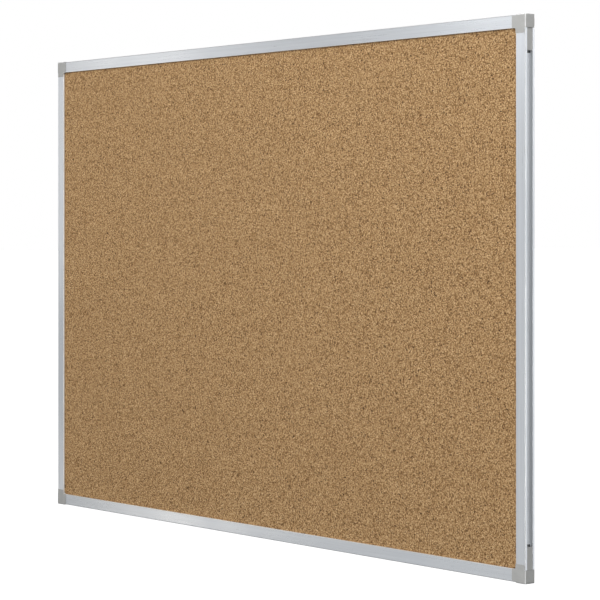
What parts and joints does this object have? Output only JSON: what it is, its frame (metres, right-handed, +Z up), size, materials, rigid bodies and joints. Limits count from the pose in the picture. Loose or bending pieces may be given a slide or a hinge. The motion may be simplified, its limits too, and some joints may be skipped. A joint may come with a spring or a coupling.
{
  "type": "cork bulletin board",
  "caption": "Landscape wall-hung cork pin board in a slim silver aluminium frame, with snap-in grey plastic corner pieces and sliding keyhole wall hangers behind the top rail.",
  "frame": {"origin": "the middle of the board's width and height, on the plane of the wall behind it", "axes": "+X to the right seen from the front, +Y back into the wall, +Z up"},
  "size_m": [0.916, 0.0149, 0.6112],
  "materials": {
    "anodised_aluminium": "satin",
    "grey_plastic": "satin",
    "cork": "matte",
    "fibreboard": "matte",
    "backing_paper": "matte",
    "zinc_plated_steel": "satin"
  },
  "bodies": {
    "board": {"rail_top": "anodised_aluminium", "rail_bottom": "anodised_aluminium", "rail_left": "anodised_aluminium", "rail_right": "anodised_aluminium", "corner_top_left": "grey_plastic", "corner_top_right": "grey_plastic", "corner_bottom_left": "grey_plastic", "corner_bottom_right": "grey_plastic", "cork_sheet": "cork", "fibreboard_core": "fibreboard", "backing_sheet": "backing_paper"},
    "hanger_left": {"hanger_left": "zinc_plated_steel"},
    "hanger_right": {"hanger_right": "zinc_plated_steel"}
  },
  "joints": [
    {"name": "hanger_left_slide", "type": "slide", "parent": "board", "child": "hanger_left", "axis": [1, 0, 0], "range_m": [-0.1205, 0.2865]},
    {"name": "hanger_right_slide", "type": "slide", "parent": "board", "child": "hanger_right", "axis": [1, 0, 0], "range_m": [-0.2865, 0.1205]}
  ]
}
